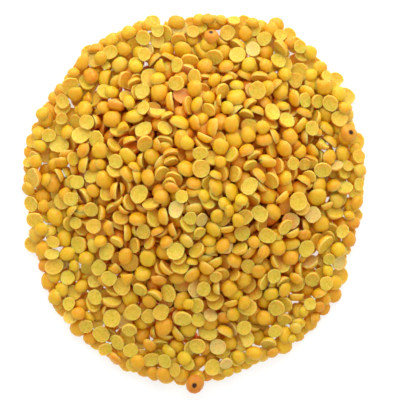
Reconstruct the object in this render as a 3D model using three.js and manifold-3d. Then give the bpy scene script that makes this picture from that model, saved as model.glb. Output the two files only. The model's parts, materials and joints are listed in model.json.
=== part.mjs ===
// A free-standing heap of dry split yellow lentils: a low mound of grains poured on a flat surface.
// The packed inside is one plain core, and the grains that show are fused to it at their real size.
// Millimetres, +Z up, with the origin under the middle of the heap, on the surface it stands on.

import * as THREE from "three";
import { mergeVertices } from "three/addons/utils/BufferGeometryUtils.js";
import Module from "manifold-3d";

// ---- Driving dimensions, in millimetres and degrees ----

const HEAP = {
  radius: 56, // mean radius of the foot
  height: 20, // from the surface to the top of the form
  crown: { x: 6, y: 7 }, // the highest place, to one side of the foot's middle
  crownRounding: 0.36, // how much of the cone's tip is rounded off, as a share of its radius
  shift: { x: -0.35, y: 0.315 }, // brings the middle of the heap's box over the origin
};

// The foot is not a circle: each wave adds swell * cos(lobes * (angle - towards)) to its radius.
const FOOT_WAVES = [
  { lobes: 1, swell: 2.3, towards: 76 },
  { lobes: 2, swell: 2.6, towards: 80 },
  { lobes: 3, swell: 0.9, towards: 36 },
  { lobes: 4, swell: 0.65, towards: -36 },
  { lobes: 7, swell: 0.6, towards: 10 },
];

// One split lentil has a flat cut face and a domed back, and either of them shows. Under its rim a
// grain narrows to the point of its root, which ends inside what it lies on.
const GRAIN = {
  length: 5.8,
  width: 5.05,
  thickness: 2.45,
  sizeSpread: 0.12, // largest departure from those sizes, as a share
  sides: 6,
  domeUp: { rim: 0.55, root: 3 }, // height of the rim and depth of the root, as shares of the
  cutFaceUp: { rim: 1, root: 1.6 }, // thickness
};

// The grains that lie on the surface round the foot.
const RING = {
  inset: 2.9, // of their middles from the foot's line
  insetSpread: 0.7,
  spacing: 5.6,
  aroundSpread: 0.12, // largest shift along the ring, as a share of the spacing
  domeUpShare: 0.6,
};

// Single grains that rolled a little further than the ring, by angle and distance from the middle.
const STRAYS = [
  { towards: -39, distance: 52.4 },
  { towards: -33.5, distance: 52.6 },
  { towards: -26.6, distance: 51.4 },
  { towards: 34.6, distance: 58.3 },
  { towards: 40.6, distance: 58.9 },
  { towards: 59.9, distance: 59.8 },
  { towards: 64.5, distance: 60.9 },
  { towards: 102.8, distance: 57.6 },
  { towards: 124.6, distance: 56.6 },
  { towards: 195.1, distance: 51.4 },
  { towards: 269.5, distance: 57.3 },
];

// The grains that cover the core.
const COVER = {
  count: 285,
  inset: 7, // of the outermost ones' middles from the foot's line
  spacing: 5.6, // that neighbours push each other apart to
  rounds: 80, // of pushing
  lean: 12, // largest lean of a grain out of the slope
  crownLean: 50, // the same at the crown, where some grains stand on edge
  crownShare: 0.3, // how far those reach, as a share of the way to the foot
  sink: 2.1, // of a grain's underside below the form
  sinkSpread: 0.3,
  domeUpShare: 0.5,
};

const CORE = {
  depth: 1.4, // of the core's skin below the heap's form
  inset: 3.4, // of the core's foot from the heap's foot
  footHeight: 1, // of the low wall round it
  sectors: 14,
  shares: [0.66, 0.33, 0], // of the way from the crown to the foot, where its slope breaks
};

const SEED = 20;
const FLATNESS = 0.001; // faces that depart from a plane by less are one face

// ---- Rules that the whole heap follows ----

// A seeded draw between 0 and 1, the same in every run.
function seededDraw(seed) {
  let state = seed;
  return () => {
    state = (state + 0x6d2b79f5) | 0;
    let mixed = Math.imul(state ^ (state >>> 15), state | 1);
    mixed ^= mixed + Math.imul(mixed ^ (mixed >>> 7), mixed | 61);
    return ((mixed ^ (mixed >>> 14)) >>> 0) / 2 ** 32;
  };
}

const draw = seededDraw(SEED);
const between = (low, high) => low + (high - low) * draw();

// The radius of the foot at an angle, in radians.
function footRadius(angle) {
  return FOOT_WAVES.reduce(
    (radius, { lobes, swell, towards }) =>
      radius + swell * Math.cos(lobes * (angle - THREE.MathUtils.degToRad(towards))),
    HEAP.radius,
  );
}

// The height of the heap's form at a share of the way from the crown to the foot: a cone with a
// rounded tip.
function formHeight(share) {
  const tip = HEAP.crownRounding;
  const edge = Math.hypot(1, tip);
  return (HEAP.height * (edge - Math.hypot(share, tip))) / (edge - tip);
}

// The share of the way from the crown to the foot over a place. The foot's line, drawn smaller by
// that share and moved towards the crown by the rest, goes through the place.
function shareAt(x, y) {
  let share = 0.5;
  for (let round = 0; round < 12; round++) {
    const alongX = x - HEAP.crown.x * (1 - share);
    const alongY = y - HEAP.crown.y * (1 - share);
    share = Math.hypot(alongX, alongY) / footRadius(Math.atan2(alongY, alongX));
  }
  return share;
}

// The form's height over a place.
const formHeightAt = (x, y) => formHeight(shareAt(x, y));

// The form's outward normal over a place.
function formNormalAt(x, y) {
  const step = 0.5;
  const slopeX = (formHeightAt(x + step, y) - formHeightAt(x - step, y)) / (2 * step);
  const slopeY = (formHeightAt(x, y + step) - formHeightAt(x, y - step)) / (2 * step);
  return new THREE.Vector3(-slopeX, -slopeY, 1).normalize();
}

// A place on the surface, by angle in radians and distance from the foot's middle.
const onSurface = (angle, distance) =>
  new THREE.Vector3(distance * Math.cos(angle), distance * Math.sin(angle), 0);

// ---- Solids ----

const wasm = await Module();
wasm.setup();

// A closed geometry as a solid that can be joined and cut.
function solidOf(geometry) {
  const bare = geometry.clone();
  bare.deleteAttribute("normal");
  bare.deleteAttribute("uv");
  const merged = mergeVertices(bare, 1e-4);
  const mesh = new wasm.Mesh({
    numProp: 3,
    vertProperties: merged.attributes.position.array,
    triVerts: new Uint32Array(merged.index.array),
  });
  return new wasm.Manifold(mesh).setTolerance(FLATNESS);
}

// A solid as a geometry that can be shown.
function geometryOf(solid) {
  const { numProp, numVert, vertProperties, triVerts } = solid.getMesh();
  const positions = new Float32Array(numVert * 3);
  for (let i = 0; i < numVert; i++) {
    positions.set(vertProperties.subarray(i * numProp, i * numProp + 3), i * 3);
  }
  const geometry = new THREE.BufferGeometry();
  geometry.setAttribute("position", new THREE.BufferAttribute(positions, 3));
  geometry.setIndex(new THREE.BufferAttribute(triVerts, 1));
  geometry.computeVertexNormals();
  return geometry;
}

// The packed inside: the heap's form, set back on all sides, down to the surface. It is turned as
// a unit cone, and each height of it is then drawn out to the foot's line and moved to the crown.
function coreGeometry() {
  const inward = 1 - CORE.inset / HEAP.radius;
  const slope = CORE.shares.map(
    (share) => new THREE.Vector2(share, formHeight(share * inward) - CORE.depth),
  );
  const wall = [new THREE.Vector2(1, 0), new THREE.Vector2(1, CORE.footHeight)];
  const profile = [new THREE.Vector2(0, 0), ...wall, ...slope];
  const geometry = new THREE.LatheGeometry(profile, CORE.sectors).rotateX(Math.PI / 2);
  const places = geometry.attributes.position;
  const corners = 2 / (1 + Math.cos(Math.PI / CORE.sectors)); // stand out as far as flats fall short
  for (let i = 0; i < places.count; i++) {
    const angle = Math.atan2(places.getY(i), places.getX(i));
    const share = Math.hypot(places.getX(i), places.getY(i));
    const reach = (footRadius(angle) - CORE.inset) * corners;
    const towardsCrown = places.getZ(i) > 0 ? 1 - share : 0;
    places.setX(i, places.getX(i) * reach + HEAP.crown.x * towardsCrown);
    places.setY(i, places.getY(i) * reach + HEAP.crown.y * towardsCrown);
  }
  return geometry;
}

// A split lentil of unit size, its underside on z = 0 and its root below that.
function grainGeometry({ rim, root }) {
  const profile = [new THREE.Vector2(0, -root), new THREE.Vector2(1, rim), new THREE.Vector2(0, 1)];
  return new THREE.LatheGeometry(profile, GRAIN.sides).rotateX(Math.PI / 2);
}

const domeUpGeometry = grainGeometry(GRAIN.domeUp);
const cutFaceUpGeometry = grainGeometry(GRAIN.cutFaceUp);

// A grain that has the middle of its underside at a place and its upper side along an axis. Its
// sizes, and its turn about that axis, are shares between -1 and 1 of their spread.
function grainSolid(place, axis, domeUp, [longer, wider, thicker, turned]) {
  const scale = new THREE.Vector3(
    (GRAIN.length / 2) * (1 + GRAIN.sizeSpread * longer),
    (GRAIN.width / 2) * (1 + GRAIN.sizeSpread * wider),
    GRAIN.thickness * (1 + GRAIN.sizeSpread * thicker),
  );
  const up = new THREE.Vector3(0, 0, 1);
  const spin = new THREE.Quaternion().setFromAxisAngle(up, Math.PI * turned);
  const turn = new THREE.Quaternion().setFromUnitVectors(up, axis).multiply(spin);
  const geometry = (domeUp ? domeUpGeometry : cutFaceUpGeometry).clone();
  return solidOf(geometry.applyMatrix4(new THREE.Matrix4().compose(place, turn, scale)));
}

// ---- Grains on the surface round the foot ----

// The i-th number of an even but irregular series between -1 and 1. Each step gives its own.
const series = (i, step) => 2 * ((i * step) % 1) - 1;
const STEPS = { around: 0.618034, inset: 0.414214, domeUp: 0.302776 };
const SHARE_STEPS = [0.732051, 0.236068, 0.645751, 0.541381];

// The places of the ring, and then of the strays.
function footPlaces() {
  const count = Math.round((2 * Math.PI * (HEAP.radius - RING.inset)) / RING.spacing);
  const ring = Array.from({ length: count }, (_, i) => {
    const angle = (2 * Math.PI * (i + RING.aroundSpread * series(i, STEPS.around))) / count;
    const inset = RING.inset + RING.insetSpread * series(i, STEPS.inset);
    return onSurface(angle, footRadius(angle) - inset);
  });
  const strays = STRAYS.map(({ towards, distance }) =>
    onSurface(THREE.MathUtils.degToRad(towards), distance),
  );
  return [...ring, ...strays];
}

// A grain that lies level on the surface, on its cut face or on its dome.
function footGrain(place, i) {
  const domeUp = series(i, STEPS.domeUp) < 2 * RING.domeUpShare - 1;
  const shares = SHARE_STEPS.map((step) => series(i, step));
  return grainSolid(place, new THREE.Vector3(0, 0, 1), domeUp, shares);
}

// ---- Grains over the core ----

// The places of the grains that cover the core: drawn at random, then pushed apart until they lie
// about a spacing from each other and from the grains round the foot.
function coverPlaces(foot) {
  const onForm = (place) => place.setZ(formHeightAt(place.x, place.y));
  const places = Array.from({ length: COVER.count }, () => {
    const angle = between(0, 2 * Math.PI);
    return onForm(onSurface(angle, Math.sqrt(draw()) * (footRadius(angle) - COVER.inset)));
  });
  const apart = new THREE.Vector3();
  for (let round = 0; round < COVER.rounds; round++) {
    places.forEach((place, i) => {
      for (const other of [...places.slice(i + 1), ...foot]) {
        apart.subVectors(place, other);
        const gap = COVER.spacing - apart.length();
        if (gap <= 0) continue;
        apart.setLength(gap / 2);
        place.add(apart);
        if (other.z > 0) other.sub(apart);
      }
    });
    for (const place of places) {
      const distance = Math.hypot(place.x, place.y);
      const reach = footRadius(Math.atan2(place.y, place.x)) - COVER.inset;
      if (distance > reach) place.multiplyScalar(reach / distance);
      onForm(place);
    }
  }
  return places;
}

// A direction that leans out of the one given, by up to so many degrees, to any side.
function leaning(direction, degrees) {
  const lean = THREE.MathUtils.degToRad(between(0, degrees));
  const side = between(0, 2 * Math.PI);
  const across = new THREE.Vector3(Math.cos(side), Math.sin(side), 0);
  return direction.clone().applyAxisAngle(across, lean);
}

// A grain that lies on the core along the slope, and at the crown anyhow.
function coverGrain(place) {
  const atCrown = shareAt(place.x, place.y) < COVER.crownShare;
  const outward = leaning(formNormalAt(place.x, place.y), atCrown ? COVER.crownLean : COVER.lean);
  const domeUp = draw() < COVER.domeUpShare;
  const shares = SHARE_STEPS.map(() => between(-1, 1));
  const sink = COVER.sink + between(-COVER.sinkSpread, COVER.sinkSpread);
  return grainSolid(place.clone().setZ(place.z - sink), outward, domeUp, shares);
}

// ---- The heap ----

// Everything below the surface that the heap stands on.
function belowSurface() {
  const side = 4 * HEAP.radius;
  return solidOf(new THREE.BoxGeometry(side, side, side).translate(0, 0, -side / 2));
}

// The whole heap as one solid: the largest body, so that sealed gaps are filled and scraps dropped.
function heapSolid() {
  const foot = footPlaces();
  const grains = [...foot.map(footGrain), ...coverPlaces(foot).map(coverGrain)];
  const fused = wasm.Manifold.union([solidOf(coreGeometry()), ...grains]);
  const bodies = fused.subtract(belowSurface()).decompose();
  return bodies.sort((a, b) => b.volume() - a.volume())[0];
}

const lentilMaterial = new THREE.MeshStandardMaterial({
  name: "split_lentil",
  color: new THREE.Color(0.86, 0.6, 0.14),
  roughness: 0.6,
  metalness: 0,
});

const heap = new THREE.Mesh(geometryOf(heapSolid()), lentilMaterial);
heap.name = "lentil_heap";
heap.position.set(HEAP.shift.x, HEAP.shift.y, 0);

const part = new THREE.Group();
part.name = "heap_of_split_lentils";
part.add(heap);

export default part;
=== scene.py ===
"""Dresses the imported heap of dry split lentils: single half lentils that lie on each other over a small core.

The heap's form fills the part's own box. Each grain is let down on what lies there already, in the lowest
place that it finds, and then all of them slide and tip to rest. Lengths are in millimetres until a mesh is
made, and every mesh is in metres, in the part's frame.
"""

import json
import logging
import math
from dataclasses import dataclass, field, replace
from enum import Enum

import bpy
import numpy as np
from mathutils import Matrix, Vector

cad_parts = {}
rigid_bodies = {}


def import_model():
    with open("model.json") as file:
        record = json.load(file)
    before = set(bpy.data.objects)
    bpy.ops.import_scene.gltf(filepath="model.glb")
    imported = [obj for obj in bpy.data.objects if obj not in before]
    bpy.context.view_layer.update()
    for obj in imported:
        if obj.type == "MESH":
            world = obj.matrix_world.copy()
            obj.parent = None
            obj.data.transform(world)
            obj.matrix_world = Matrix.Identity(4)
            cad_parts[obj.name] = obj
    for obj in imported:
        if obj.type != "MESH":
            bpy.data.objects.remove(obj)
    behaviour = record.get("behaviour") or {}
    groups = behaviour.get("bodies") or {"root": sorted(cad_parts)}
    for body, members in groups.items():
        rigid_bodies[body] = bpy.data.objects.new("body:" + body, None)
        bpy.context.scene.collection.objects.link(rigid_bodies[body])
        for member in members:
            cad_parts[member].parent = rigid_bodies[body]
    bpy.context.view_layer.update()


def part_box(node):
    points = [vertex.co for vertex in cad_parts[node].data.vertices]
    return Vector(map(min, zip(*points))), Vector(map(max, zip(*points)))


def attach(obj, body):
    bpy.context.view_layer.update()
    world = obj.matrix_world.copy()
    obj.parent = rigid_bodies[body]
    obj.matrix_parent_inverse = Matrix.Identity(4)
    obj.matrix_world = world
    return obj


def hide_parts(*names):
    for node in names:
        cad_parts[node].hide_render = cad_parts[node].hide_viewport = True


LOG = logging.getLogger("lentil_heap")
MM = 0.001  # metres in a millimetre
BODY = "root"
NODE = "lentil_heap"
SEED = 11
FLOOR_GAP = 0.03  # between the surface and the lowest grains

Colour = tuple[float, float, float]


# ---- Short ways to Blender's data ----


def new_mesh(name: str, points: object, faces: list[tuple[int, ...]]) -> bpy.types.Mesh:
    """Makes a mesh.

    Args:
        name: Its name.
        points: Its points, as rows of three numbers.
        faces: Its faces, each as the numbers of its points.

    Returns:
        The mesh.
    """
    mesh = bpy.data.meshes.new(name)
    mesh.from_pydata(np.asarray(points, float).tolist(), [], faces)
    return mesh


def put_in_scene(name: str, data: bpy.types.ID) -> bpy.types.Object:
    """Makes an object and puts it in the scene.

    Args:
        name: Its name.
        data: Its mesh, light or camera.

    Returns:
        The object.
    """
    made = bpy.data.objects.new(name, data)
    bpy.context.scene.collection.objects.link(made)
    return made


def store(mesh: bpy.types.Mesh, name: str, values: object, data_type: str = "FLOAT") -> None:
    """Stores numbers, or vectors one after the other, for the points of a mesh."""
    key = "vector" if data_type == "FLOAT_VECTOR" else "value"
    mesh.attributes.new(name, data_type, "POINT").data.foreach_set(key, np.ravel(values).tolist())


def feed(tree: bpy.types.NodeTree, value: object, target: bpy.types.NodeSocket) -> None:
    """Joins a node's socket to a source, or gives it a value of its own.

    Args:
        tree: The node's tree.
        value: The source, or the value.
        target: The socket.
    """
    if isinstance(value, bpy.types.NodeSocket):
        tree.links.new(value, target)
    else:
        target.default_value = (*value, 1.0) if target.type == "RGBA" else value


def add_node(
    tree: bpy.types.NodeTree, kind: str, inputs: dict[str | int, object] | None = None, **options: object
) -> bpy.types.Node:
    """Adds a node to a tree.

    Args:
        tree: The tree.
        kind: The node's type.
        inputs: Sources or values of its sockets, by name or number.
        options: Its settings.

    Returns:
        The node.
    """
    node = tree.nodes.new(kind)
    for name, value in options.items():
        setattr(node, name, value)
    for key, value in (inputs or {}).items():
        feed(tree, value, node.inputs[key])
    return node


# ---- The heap's form ----


@dataclass(frozen=True)
class Wave:
    """One swell of the foot's line, which adds swell * cos(lobes * (angle - towards)) to its radius."""

    lobes: int
    swell: float
    towards: float  # degrees


@dataclass(frozen=True)
class Spot:
    """A place on the surface, by angle in degrees and distance from the foot's middle."""

    towards: float
    distance: float


@dataclass(frozen=True)
class HeapForm:
    """The form that the grains fill: a cone with a rounded tip over a foot that isn't quite round."""

    radius: float
    height: float
    ceiling: float  # that no grain passes
    half_plan: tuple[float, float]  # of the box, in plan
    radius_share: float = 0.247  # of the foot's radius in the box's width and depth together
    height_share: float = 0.945  # of the form's height in the box's
    top_gap: float = 0.3  # from the ceiling to the box's top
    side_gap: float = 0.2  # from the outermost grains to the box's sides
    crown: tuple[float, float] = (6.0, 7.0)
    crown_rounding: float = 0.36
    shift: tuple[float, float] = (-0.35, 0.315)  # of the foot's middle from the origin
    rounds: int = 12  # in which the way from the crown is worked out
    slope_step: float = 0.5  # over which the slope is measured
    waves: tuple[Wave, ...] = (
        Wave(1, 2.3, 76),
        Wave(2, 2.6, 80),
        Wave(3, 0.9, 36),
        Wave(4, 0.65, -36),
        Wave(7, 0.6, 10),
    )
    strays: tuple[Spot, ...] = (
        Spot(-39, 52.4),
        Spot(-33.5, 52.6),
        Spot(-26.6, 51.4),
        Spot(34.6, 58.3),
        Spot(40.6, 58.9),
        Spot(59.9, 59.8),
        Spot(64.5, 60.9),
        Spot(102.8, 57.6),
        Spot(124.6, 56.6),
        Spot(195.1, 51.4),
    )
    eyed: tuple[Spot, ...] = (Spot(23.7, 52.7), Spot(83.2, 50.7), Spot(271.0, 56.6))

    @classmethod
    def from_box(cls, low: np.ndarray, high: np.ndarray) -> "HeapForm":
        """Works the form out from the part's box.

        Args:
            low: Lowest corner of the box, in millimetres.
            high: Highest corner of the box.

        Returns:
            The form whose grains fill that box.
        """
        wide, deep, tall = high - low
        return cls(
            radius=(wide + deep) * cls.radius_share,
            height=tall * cls.height_share,
            ceiling=tall - cls.top_gap,
            half_plan=(wide / 2 - cls.side_gap, deep / 2 - cls.side_gap),
        )

    def foot_radius(self, angle: np.ndarray) -> np.ndarray:
        """Gives the foot's radius at angles in radians."""
        return self.radius + sum(
            wave.swell * np.cos(wave.lobes * (angle - math.radians(wave.towards))) for wave in self.waves
        )

    def share(self, x: np.ndarray, y: np.ndarray) -> np.ndarray:
        """Finds how far places are on the way from the crown to the foot.

        The foot's line, drawn smaller by that share and moved towards the crown by the rest, goes through
        the place.

        Args:
            x: Places along X, in the part's frame.
            y: Places along Y.

        Returns:
            0 over the crown, 1 on the foot's line, and more outside it.
        """
        share = np.full(np.shape(x), 0.5)
        for _ in range(self.rounds):
            along_x = x - self.shift[0] - self.crown[0] * (1 - share)
            along_y = y - self.shift[1] - self.crown[1] * (1 - share)
            share = np.hypot(along_x, along_y) / self.foot_radius(np.arctan2(along_y, along_x))
        return share

    def top(self, share: np.ndarray) -> np.ndarray:
        """Gives the form's height at shares of the way from the crown to the foot."""
        edge = math.hypot(1, self.crown_rounding)
        return self.height * (edge - np.hypot(share, self.crown_rounding)) / (edge - self.crown_rounding)

    def normal_at(self, x: float, y: float) -> np.ndarray:
        """Gives the form's outward normal over a place.

        Args:
            x: The place along X.
            y: The place along Y.

        Returns:
            A vector of length 1.
        """
        step = self.slope_step
        around = np.array([[x + step, x - step, x, x], [y, y, y + step, y - step]])
        east, west, north, south = self.top(self.share(*around))
        normal = np.array([west - east, south - north, 2 * step])
        return normal / np.linalg.norm(normal)

    def inset(self, x: np.ndarray, y: np.ndarray) -> np.ndarray:
        """Gives how far places lie inside the foot's line."""
        along_x, along_y = x - self.shift[0], y - self.shift[1]
        return self.foot_radius(np.arctan2(along_y, along_x)) - np.hypot(along_x, along_y)

    def place(self, spot: Spot) -> np.ndarray:
        """Gives a spot's place in the part's frame."""
        angle = math.radians(spot.towards)
        return np.array(self.shift) + spot.distance * np.array([math.cos(angle), math.sin(angle)])


# ---- Shapes of grain ----


@dataclass(frozen=True)
class GrainSize:
    """The size of a half lentil, in millimetres, and how much it varies."""

    length: float = 6.05
    width: float = 5.4
    thickness: float = 2.2
    spread: float = 0.085  # standard deviation of a grain's overall size, as a share
    side_spread: float = 0.05  # the same of one side against another
    range: tuple[float, float] = (0.76, 1.14)
    side_range: tuple[float, float] = (0.88, 1.08)
    give: float = 0.05  # by how much a grain is smaller where it settles, as its edges are rounded

    def draw(self, rng: np.random.Generator) -> np.ndarray:
        """Draws one grain's half length, half width and thickness."""
        overall = np.clip(rng.normal(1.0, self.spread), *self.range)
        sides = np.clip(rng.normal(1.0, self.side_spread, 3), *self.side_range)
        return np.array([self.length / 2, self.width / 2, self.thickness]) * overall * sides


@dataclass(frozen=True)
class Chip:
    """A straight break across a grain."""

    towards: float  # degrees
    distance: float  # from the middle, as a share of the radius


@dataclass(frozen=True)
class Ring:
    """One ring of a grain's mesh, in shares of its half sizes."""

    radius: float
    height: float
    cut: float  # how much of the cut face's finish it has
    radial: float  # place on the way from the cut face's middle to its rim


@dataclass(frozen=True)
class HalfShape:
    """A half lentil of unit size: a dome over a slightly hollow cut face with a rounded rim."""

    name: str
    lobes: tuple[tuple[int, float, float], ...]  # waves of the outline: count, depth and direction
    squareness: float = 2.2  # exponent of the outline, 2 for an ellipse
    dish: float = 0.05  # depth of the cut face's hollow
    lean: float = 0.0  # how far the dome's top is off the middle
    chips: tuple[Chip, ...] = ()
    eye: bool = False  # whether a dark spot is near the dome's top
    segments: int = 12
    dome_rings: int = 2
    rim_height: float = 0.14
    fullness: float = 0.78  # below 1, the dome's shoulders are fuller than a ball's
    furthest: float = 1.06  # that a point may be from the cut face's middle
    break_slope: float = 0.12  # of a chip's face, inwards towards the dome's top

    def rings(self) -> list[Ring]:
        """Lists the rings from the cut face's middle to the dome's top."""
        lowest = math.asin(self.rim_height)
        gaps = self.dome_rings + 1
        steps = [lowest + (math.pi / 2 - lowest) * i / gaps for i in range(1, gaps)]
        shoulders = [(math.cos(step) ** self.fullness, math.sin(step) ** self.fullness) for step in steps]
        return [
            Ring(0.0, self.dish, 1.0, 0.0),
            Ring(0.8, self.dish * 0.9, 1.0, 0.8),
            Ring(0.93, 0.0, 1.0, 0.93),
            Ring(1.0, self.rim_height, 0.5, 1.0),
            *(Ring(radius, height, 0.0, radius) for radius, height in shoulders),
            Ring(0.0, 1.0, 0.0, 0.0),
        ]

    def outline(self, angle: np.ndarray) -> np.ndarray:
        """Gives the outline's radius at angles.

        Args:
            angle: Angles in radians.

        Returns:
            Shares of the half sizes, 1 at most.
        """
        power = self.squareness
        radius = (np.abs(np.cos(angle)) ** power + np.abs(np.sin(angle)) ** power) ** (-1 / power)
        for count, depth, towards in self.lobes:
            radius = radius * (1 + depth * np.cos(count * (angle - math.radians(towards))))
        return radius / radius.max()

    def points(self) -> np.ndarray:
        """Works out the mesh's points, ring by ring, all within a half ball of little more than radius 1."""
        angle = 2 * math.pi * np.arange(self.segments) / self.segments
        circle = np.stack([np.cos(angle), np.sin(angle)], axis=1) * self.outline(angle)[:, None]
        rows = []
        for ring in self.rings():
            flat = circle * ring.radius if ring.radius else np.zeros((1, 2))
            rows.append(np.column_stack([flat, np.full(len(flat), ring.height)]))
        points = np.vstack(rows)
        points[:, 0] += self.lean * points[:, 2] * (1 - np.hypot(points[:, 0], points[:, 1]))
        for chip in self.chips:
            towards = np.array([math.cos(math.radians(chip.towards)), math.sin(math.radians(chip.towards))])
            limit = chip.distance * (1 - self.break_slope * points[:, 2])
            beyond = np.maximum(points[:, :2] @ towards - limit, 0)
            points[:, :2] -= beyond[:, None] * towards
        return points / np.maximum(np.linalg.norm(points, axis=1, keepdims=True) / self.furthest, 1)

    def faces(self) -> list[tuple[int, ...]]:
        """Joins the rings to faces that point outwards."""
        count = self.segments
        bands = len(self.rings()) - 3
        apex = 1 + count * (bands + 1)
        faces: list[tuple[int, ...]] = []
        for i in range(count):
            j = (i + 1) % count
            faces.append((0, 1 + j, 1 + i))
            for band in range(bands):
                inner, outer = 1 + band * count, 1 + (band + 1) * count
                faces.append((inner + i, inner + j, outer + j, outer + i))
            faces.append((apex - count + i, apex - count + j, apex))
        return faces

    def build(self) -> bpy.types.Mesh:
        """Makes the grain's mesh.

        Returns:
            A closed mesh in unit size, its cut face down, with the attributes that its finish reads.
        """
        mesh = new_mesh(self.name, self.points(), self.faces())
        rings = self.rings()
        sizes = [self.segments if ring.radius else 1 for ring in rings]
        store(mesh, "cut", np.repeat([ring.cut for ring in rings], sizes))
        store(mesh, "radial", np.repeat([ring.radial for ring in rings], sizes))
        store(mesh, "eye", [0.0] * (len(mesh.vertices) - 1) + [float(self.eye)])
        crest = range(1 + self.segments, 1 + 2 * self.segments)  # the ring where the cut face meets its rim
        crisp = mesh.attributes.new("sharp_edge", "BOOLEAN", "EDGE")
        crisp.data.foreach_set("value", [all(end in crest for end in edge.vertices) for edge in mesh.edges])
        return mesh


def whole_shapes(prefix: str) -> tuple[HalfShape, ...]:
    """Gives the unbroken half lentils, from round to flat-sided and pear-shaped.

    Args:
        prefix: Start of their names.

    Returns:
        Seven shapes.
    """
    return (
        HalfShape(f"{prefix}_0", ((3, 0.02, 20), (5, 0.012, 70)), 2.0, 0.08),
        HalfShape(f"{prefix}_1", ((2, 0.035, 60), (3, 0.025, 100)), 2.15, 0.1, 0.1),
        HalfShape(f"{prefix}_2", ((3, 0.03, 10), (5, 0.016, 40)), 2.25, 0.06, -0.08),
        HalfShape(f"{prefix}_3", ((1, 0.03, 0), (4, 0.02, 30)), 2.1, 0.11, 0.14),
        HalfShape(f"{prefix}_4", ((1, -0.04, 15), (2, 0.03, 80), (5, 0.016, 0)), 2.15, 0.05, -0.12),
        HalfShape(f"{prefix}_5", ((1, 0.05, 5), (3, -0.025, 5)), 2.0, 0.09, 0.06, (Chip(8, 0.86),)),
        HalfShape(f"{prefix}_6", ((2, -0.03, 30), (4, 0.02, 45)), 2.3, 0.07, 0.05),
    )


def chipped_shapes() -> tuple[HalfShape, ...]:
    """Gives the broken half lentils."""
    return (
        HalfShape("chipped_0", ((3, 0.03, 10),), 2.1, 0.05, 0.0, (Chip(20, 0.45),)),
        HalfShape("chipped_1", ((2, 0.03, 10),), 2.3, 0.04, 0.05, (Chip(100, 0.55), Chip(150, 0.8))),
        HalfShape("chipped_2", ((3, 0.02, 70),), 2.2, 0.06, 0.0, (Chip(-80, 0.3),)),
        HalfShape("chipped_3", ((3, 0.02, 30),), 2.2, 0.03, 0.0, (Chip(10, 0.25), Chip(120, 0.5))),
    )


# ---- Finishes ----


@dataclass(frozen=True)
class Ramp:
    """A range of a number, and the range that it is mapped onto, held at both ends."""

    low: float
    high: float
    at_low: float
    at_high: float


@dataclass(frozen=True)
class Pattern:
    """A noise pattern."""

    scale: float  # patches for each metre
    detail: float  # levels of finer patches


class Wiring:
    """Adds nodes to a material and joins them."""

    def __init__(self, name: str) -> None:
        """Makes the material with its shader."""
        self.material = bpy.data.materials.new(name)
        self.material.use_nodes = True
        self.tree = self.material.node_tree
        self.shader = next(node for node in self.tree.nodes if node.type == "BSDF_PRINCIPLED")

    def shade(self, inputs: dict[str, object]) -> None:
        """Joins the shader's sockets to sources, or gives them values of their own, by name."""
        for name, value in inputs.items():
            feed(self.tree, value, self.shader.inputs[name])

    def attribute(self, name: str) -> bpy.types.NodeSocket:
        """Reads one of the mesh's own numbers."""
        return add_node(self.tree, "ShaderNodeAttribute", attribute_name=name).outputs["Fac"]

    def place(self) -> bpy.types.NodeSocket:
        """Gives Object coordinates."""
        return add_node(self.tree, "ShaderNodeTexCoord").outputs["Object"]

    def noise(self, place: bpy.types.NodeSocket, pattern: Pattern) -> bpy.types.NodeSocket:
        """Gives a noise pattern between 0 and 1 over places in metres."""
        inputs = {"Vector": place, "Scale": pattern.scale, "Detail": pattern.detail}
        return add_node(self.tree, "ShaderNodeTexNoise", inputs).outputs["Fac"]

    def ramp(self, value: bpy.types.NodeSocket, ramp: Ramp) -> bpy.types.NodeSocket:
        """Maps a number by a ramp.

        Args:
            value: The number.
            ramp: Its range and the range of the result.

        Returns:
            The result's socket.
        """
        inputs = {
            "Value": value,
            "From Min": ramp.low,
            "From Max": ramp.high,
            "To Min": ramp.at_low,
            "To Max": ramp.at_high,
        }
        return add_node(self.tree, "ShaderNodeMapRange", inputs).outputs["Result"]

    def math(self, operation: str, first: object, second: object) -> bpy.types.NodeSocket:
        """Works out a sum or a product of two numbers, held between 0 and 1."""
        options = {"operation": operation, "use_clamp": True}
        return add_node(self.tree, "ShaderNodeMath", {0: first, 1: second}, **options).outputs["Value"]

    def mix(self, share: bpy.types.NodeSocket, first: object, second: object) -> bpy.types.NodeSocket:
        """Mixes two colours.

        Args:
            share: How much of the second colour.
            first: A colour or its source.
            second: A colour or its source.

        Returns:
            The mixed colour's socket.
        """
        node = add_node(self.tree, "ShaderNodeMix", {"Factor": share}, data_type="RGBA")
        sockets = [socket for socket in node.inputs if socket.type == "RGBA"]
        for colour, socket in zip((first, second), sockets):
            feed(self.tree, colour, socket)
        return next(socket for socket in node.outputs if socket.type == "RGBA")

    def scale(self, colour: bpy.types.NodeSocket, share: bpy.types.NodeSocket) -> bpy.types.NodeSocket:
        """Makes a colour darker by a share."""
        inputs = {0: colour, "Scale": share}
        return add_node(self.tree, "ShaderNodeVectorMath", inputs, operation="SCALE").outputs["Vector"]

    def bump(self, height: bpy.types.NodeSocket, distance: float, strength: float) -> None:
        """Makes the surface look raised by a pattern, up to a distance in metres."""
        inputs = {"Height": height, "Distance": distance, "Strength": strength}
        self.shade({"Normal": add_node(self.tree, "ShaderNodeBump", inputs).outputs["Normal"]})


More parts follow.
